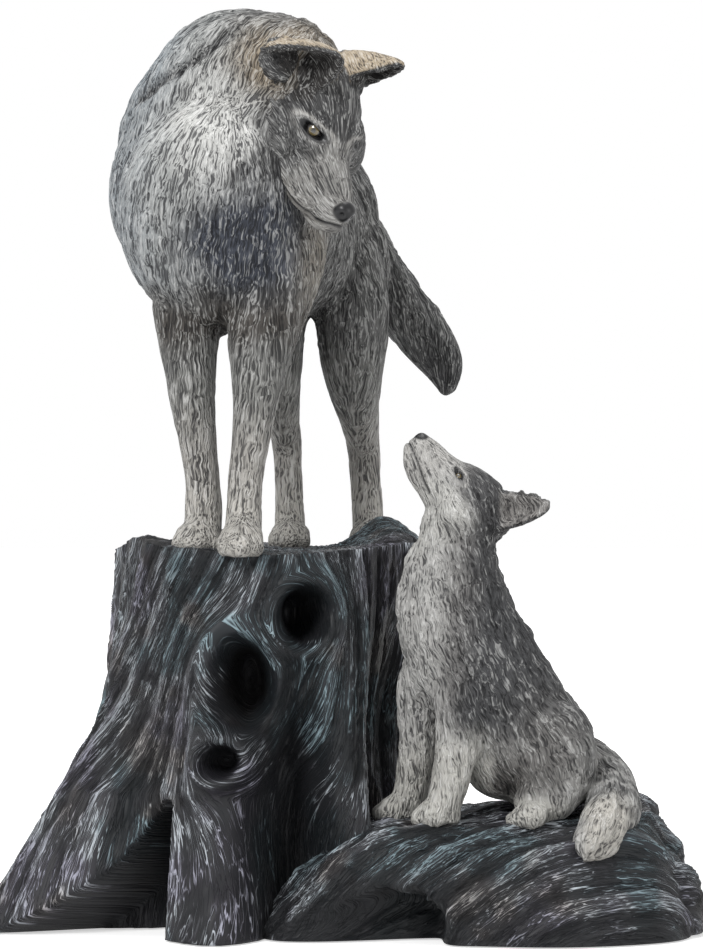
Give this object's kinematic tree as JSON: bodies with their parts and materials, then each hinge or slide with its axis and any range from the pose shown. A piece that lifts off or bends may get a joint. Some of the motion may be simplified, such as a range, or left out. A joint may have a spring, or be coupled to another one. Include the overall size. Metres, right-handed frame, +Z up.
{
  "type": "wolf figurine",
  "caption": "Cast resin figurine: an adult wolf on a tree stump looks down at a sitting pup on a rock.",
  "frame": {"origin": "on the flat underside, near the middle of the stump and the rock", "axes": "+Z up, -Y out of the front, where the pup sits at the right (+X) of the stump"},
  "size_m": [0.1985, 0.1583, 0.2514],
  "materials": {
    "painted_resin": "matt hand-painted cast resin"
  },
  "bodies": {
    "root": {"wolf_figurine": "painted_resin"}
  },
  "joints": []
}
